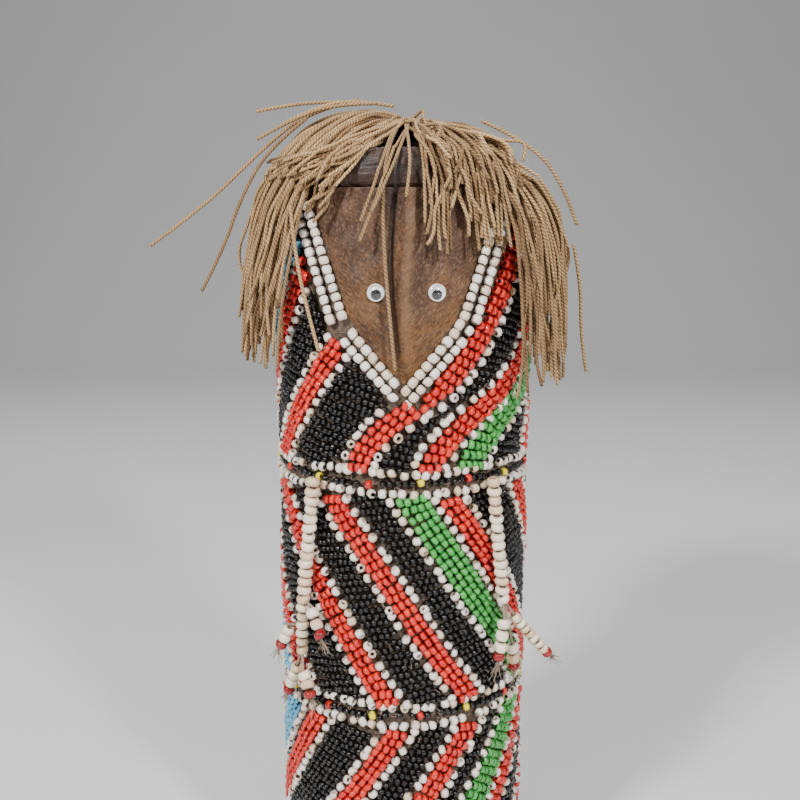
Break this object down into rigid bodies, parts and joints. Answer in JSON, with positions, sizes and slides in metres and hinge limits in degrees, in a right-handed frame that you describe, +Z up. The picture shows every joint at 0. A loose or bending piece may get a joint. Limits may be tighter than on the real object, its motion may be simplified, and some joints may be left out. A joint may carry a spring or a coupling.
{
  "type": "beaded doll",
  "caption": "Upright beaded cylinder doll with a hide face, rolling eyes, hanging bead arms with fingers and a mop of twine hair.",
  "frame": {"origin": "middle of the flat base", "axes": "+Z up the doll, -Y is where the face looks, +X to the right of someone facing it"},
  "size_m": [0.1433, 0.0993, 0.2732],
  "materials": {
    "wood": "dry carved wood",
    "backing": "coarse thread and cloth",
    "hide": "dark oiled hide",
    "face_hide": "brown hide with fine grain",
    "eye_white": "glossy white",
    "eye_black": "glossy black",
    "eye_clear": "clear dome",
    "white_bead": "chalky white glass bead",
    "red_bead": "opaque red glass bead",
    "black_bead": "shiny black glass bead",
    "green_bead": "opaque green glass bead",
    "blue_bead": "opaque light blue glass bead",
    "arm_bead": "cream glass bead",
    "thread": "plant fibre thread",
    "twine": "two-ply twisted twine"
  },
  "bodies": {
    "doll": {"wooden_core": "wood", "base_disc": "hide", "cloth_sleeve": "backing", "face_hide": "face_hide", "brow_roll": "hide", "hide_cap": "hide", "left_eye_cup": "eye_white", "left_eye_dome": "eye_clear", "neck_edging_left_inner": "white_bead", "neck_edging_left_outer": "white_bead", "right_eye_cup": "eye_white", "right_eye_dome": "eye_clear", "neck_edging_right_inner": "white_bead", "neck_edging_right_outer": "white_bead", "shoulder_band_white": "white_bead", "shoulder_band_accents": "black_bead", "hip_band_white": "white_bead", "hip_band_accents": "black_bead", "hem_band_white": "white_bead", "hem_band_accents": "black_bead", "chest_red": "red_bead", "chest_black": "black_bead", "chest_white": "white_bead", "belly_red": "red_bead", "belly_black": "black_bead", "belly_white": "white_bead", "skirt_red": "red_bead", "skirt_black": "black_bead", "skirt_white": "white_bead", "green_stripes": "green_bead", "blue_stripes": "blue_bead", "hair_left": "twine", "hair_right": "twine", "hair_back": "twine", "hair_fringe": "twine", "hair_crown": "twine", "stray_long": "twine", "stray_curl": "twine", "stray_top": "twine", "stray_high": "twine", "stray_side": "twine", "stray_right": "twine", "stray_outer": "twine", "stray_face": "twine", "stray_cheek": "twine"},
    "left_pupil": {"left_eye_pupil": "eye_black"},
    "right_pupil": {"right_eye_pupil": "eye_black"},
    "shoulder_left": {"arm_left_loop": "arm_bead"},
    "arm_left": {"arm_left_beads": "arm_bead", "arm_left_thread": "thread"},
    "finger_left_inner": {"finger_left_inner": "arm_bead"},
    "finger_left_back": {"finger_left_back": "arm_bead"},
    "finger_left_outer": {"finger_left_outer": "arm_bead"},
    "finger_left_low": {"finger_left_low": "arm_bead"},
    "shoulder_right": {"arm_right_loop": "arm_bead"},
    "arm_right": {"arm_right_beads": "arm_bead", "arm_right_thread": "thread"},
    "finger_right_inner": {"finger_right_inner": "arm_bead"},
    "finger_right_outer": {"finger_right_outer": "arm_bead"},
    "finger_right_low": {"finger_right_low": "arm_bead"}
  },
  "joints": [
    {"name": "left_pupil_roll", "type": "hinge", "parent": "doll", "child": "left_pupil", "pos_m": [-0.00802, -0.03909, 0.2152], "axis": [-0.2011, -0.9796, 0], "continuous": true},
    {"name": "right_pupil_roll", "type": "hinge", "parent": "doll", "child": "right_pupil", "pos_m": [0.00979, -0.03868, 0.2152], "axis": [0.2453, -0.9694, 0], "continuous": true},
    {"name": "arm_left_sway", "type": "hinge", "parent": "doll", "child": "shoulder_left", "pos_m": [-0.02746, -0.03601, 0.1596], "axis": [-0.6561, -0.7547, 0], "range_deg": [-12, 12]},
    {"name": "arm_left_lift", "type": "hinge", "parent": "shoulder_left", "child": "arm_left", "pos_m": [-0.02906, -0.03755, 0.156], "axis": [-0.7547, 0.6561, 0], "range_deg": [0, 70]},
    {"name": "finger_left_inner_lift", "type": "hinge", "parent": "arm_left", "child": "finger_left_inner", "pos_m": [-0.02878, -0.03646, 0.1176], "axis": [-0.7547, 0.6561, 0], "range_deg": [0, 45]},
    {"name": "finger_left_back_lift", "type": "hinge", "parent": "arm_left", "child": "finger_left_back", "pos_m": [-0.03605, -0.02988, 0.1086], "axis": [-0.7547, 0.6561, 0], "range_deg": [0, 45]},
    {"name": "finger_left_outer_lift", "type": "hinge", "parent": "arm_left", "child": "finger_left_outer", "pos_m": [-0.03348, -0.03211, 0.097], "axis": [-0.7547, 0.6561, 0], "range_deg": [0, 45]},
    {"name": "finger_left_low_lift", "type": "hinge", "parent": "arm_left", "child": "finger_left_low", "pos_m": [-0.03166, -0.03581, 0.0962], "axis": [-0.7547, 0.6561, 0], "range_deg": [0, 45]},
    {"name": "arm_right_sway", "type": "hinge", "parent": "doll", "child": "shoulder_right", "pos_m": [0.02746, -0.03601, 0.1596], "axis": [0.6561, -0.7547, 0], "range_deg": [-12, 12]},
    {"name": "arm_right_lift", "type": "hinge", "parent": "shoulder_right", "child": "arm_right", "pos_m": [0.02906, -0.03755, 0.156], "axis": [-0.7547, -0.6561, 0], "range_deg": [0, 70]},
    {"name": "finger_right_inner_lift", "type": "hinge", "parent": "arm_right", "child": "finger_right_inner", "pos_m": [0.03168, -0.03553, 0.1136], "axis": [-0.7547, -0.6561, 0], "range_deg": [0, 45]},
    {"name": "finger_right_outer_lift", "type": "hinge", "parent": "arm_right", "child": "finger_right_outer", "pos_m": [0.03497, -0.03108, 0.1128], "axis": [-0.7547, -0.6561, 0], "range_deg": [0, 45]},
    {"name": "finger_right_low_lift", "type": "hinge", "parent": "arm_right", "child": "finger_right_low", "pos_m": [0.0349, -0.03009, 0.1028], "axis": [-0.7547, -0.6561, 0], "range_deg": [0, 45]}
  ]
}
